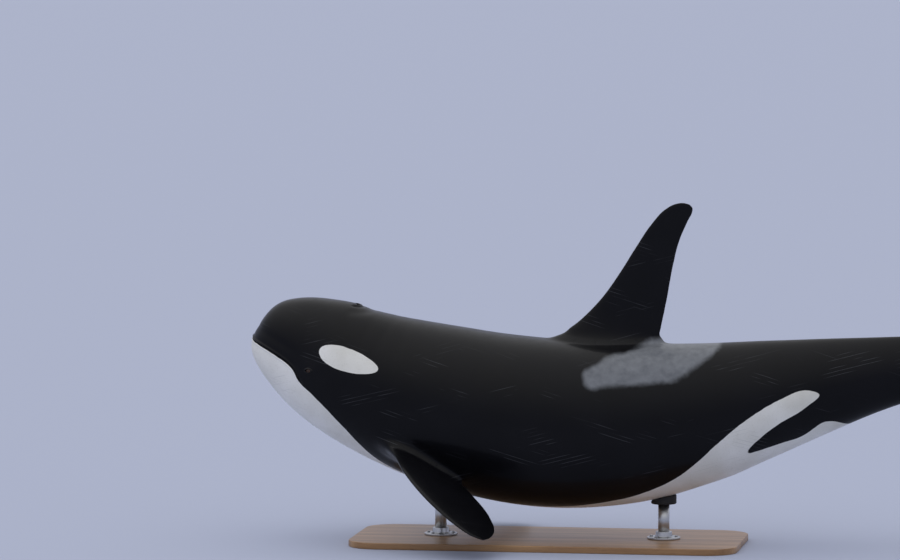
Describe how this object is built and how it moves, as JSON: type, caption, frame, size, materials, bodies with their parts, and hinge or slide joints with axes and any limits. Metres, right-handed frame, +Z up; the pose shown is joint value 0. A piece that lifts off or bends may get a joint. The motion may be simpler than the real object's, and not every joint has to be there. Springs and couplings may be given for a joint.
{
  "type": "orca",
  "caption": "Life-size young male orca as he breathes at the surface, head raised and tail on its upstroke, held on rods over a flat display base.",
  "frame": {"origin": "middle of the stand base's underside, under the animal's centre of mass", "axes": "+X from the snout to the tail, -Y the animal's left side, +Z up"},
  "size_m": [6.4347, 2.4396, 2.6358],
  "materials": {
    "skin_black": "wet black skin, smooth and glossy",
    "skin_white": "wet white skin, smooth and glossy",
    "skin_grey": "wet grey skin of the saddle, smooth and glossy",
    "eye_brown": "wet, nearly black brown",
    "base_oak": "oak, oiled, with a satin sheen",
    "rod_steel": "brushed stainless steel",
    "pad_rubber": "matt black rubber"
  },
  "bodies": {
    "root": {"head": "skin_black", "lower_jaw": "skin_white", "throat": "skin_white", "chest": "skin_black", "midsection": "skin_black", "tail_stock": "skin_black", "belly": "skin_white", "eye_patch_left": "skin_white", "eye_patch_right": "skin_white", "flank_patch_left": "skin_white", "flank_patch_right": "skin_white", "saddle_patch": "skin_grey", "eye_left": "eye_brown", "eye_right": "eye_brown", "dorsal_fin": "skin_black", "flipper_left": "skin_black", "flipper_right": "skin_black", "fluke_left": "skin_black", "fluke_right": "skin_black", "stand_base": "base_oak", "stand_rod_front": "rod_steel", "stand_rod_rear": "rod_steel", "stand_flange_front": "rod_steel", "stand_flange_rear": "rod_steel", "stand_pad_front": "pad_rubber", "stand_pad_rear": "pad_rubber"}
  },
  "joints": []
}
